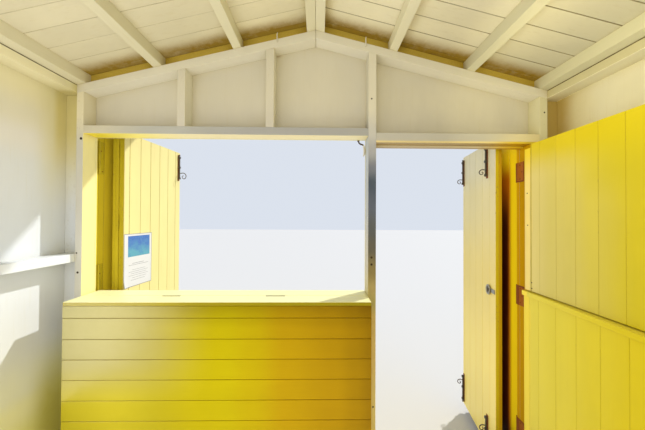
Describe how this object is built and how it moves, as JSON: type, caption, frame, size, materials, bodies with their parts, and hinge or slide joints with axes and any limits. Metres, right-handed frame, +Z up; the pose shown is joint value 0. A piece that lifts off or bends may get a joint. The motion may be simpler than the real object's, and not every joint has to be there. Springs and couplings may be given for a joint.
{
  "type": "beach hut",
  "caption": "Timber beach hut: low gabled roof, framed and boarded walls, counter under a wide window with a folded shutter, folded outer door, stable door",
  "frame": {"origin": "on the ground under the middle of the whole part, with its open shutter and outer door", "axes": "+Z is up; +Y runs from the counter front towards the back wall; +X is towards the window side, the door is on the -X side"},
  "size_m": [3.112, 3.1995, 2.717],
  "materials": {
    "white_paint": "off-white brushed paint on sawn softwood and board",
    "ceiling_paint": "cream brushed paint on matchboarding",
    "lemon_paint": "pale lemon brushed paint on grooved outside boards",
    "yellow_paint": "bright yellow brushed gloss paint on tongued boards",
    "floor_timber": "worn sandy floorboards and treated bearers",
    "roofing_felt": "mineral-surfaced bitumen felt",
    "rusty_iron": "rusted iron, rough and pitted"
  },
  "bodies": {
    "hut": {"bearers": "floor_timber", "floor_deck": "floor_timber", "left_wall_skin": "lemon_paint", "left_wall_studs": "white_paint", "left_wall_rails": "white_paint", "right_wall_skin": "lemon_paint", "right_wall_studs": "white_paint", "right_wall_rails": "white_paint", "back_wall_skin": "lemon_paint", "back_wall_studs": "white_paint", "back_wall_rails": "white_paint", "back_rafters": "white_paint", "back_blocks": "ceiling_paint", "front_skin_gable": "lemon_paint", "front_skin_sides": "lemon_paint", "front_skin_lower": "lemon_paint", "door_casing": "yellow_paint", "front_studs": "white_paint", "middle_post": "white_paint", "threshold": "floor_timber", "front_lower_frame": "white_paint", "window_header": "white_paint", "door_header": "white_paint", "door_stop": "yellow_paint", "gable_studs": "white_paint", "front_rafters": "white_paint", "front_blocks": "ceiling_paint", "window_sill": "yellow_paint", "counter_shelf": "yellow_paint", "counter_front": "yellow_paint", "counter_ends": "yellow_paint", "eave_beams": "ceiling_paint", "purlins": "ceiling_paint", "ridge_beams": "ceiling_paint", "roof_deck_left": "ceiling_paint", "roof_deck_right": "ceiling_paint", "roof_felt_left": "roofing_felt", "roof_felt_right": "roofing_felt", "bargeboards": "white_paint", "eave_fascias": "white_paint", "corner_trims": "white_paint", "shutter_batten": "yellow_paint", "window_shutter_1": "yellow_paint", "window_shutter_2": "yellow_paint", "window_shutter_3": "lemon_paint", "window_shutter_hinges": "yellow_paint", "outer_door_1": "yellow_paint", "outer_door_2": "lemon_paint", "outer_door_hinges": "rusty_iron", "hinge_plates": "rusty_iron"},
    "upper_leaf": {"upper_leaf_boards": "yellow_paint", "upper_leaf_ledges": "yellow_paint", "upper_leaf_straps": "rusty_iron"},
    "lower_leaf": {"lower_leaf_boards": "yellow_paint", "lower_leaf_ledges": "yellow_paint", "lower_leaf_cap": "yellow_paint", "lower_leaf_straps": "rusty_iron"}
  },
  "joints": [
    {"name": "upper_leaf_hinge", "type": "hinge", "parent": "hut", "child": "upper_leaf", "pos_m": [-1.2465, -0.8705, 1.57], "axis": [0, 0, 1], "range_deg": [-89, 3]},
    {"name": "lower_leaf_hinge", "type": "hinge", "parent": "hut", "child": "lower_leaf", "pos_m": [-1.2465, -0.8705, 0.63], "axis": [0, 0, 1], "range_deg": [-87, 3]}
  ]
}
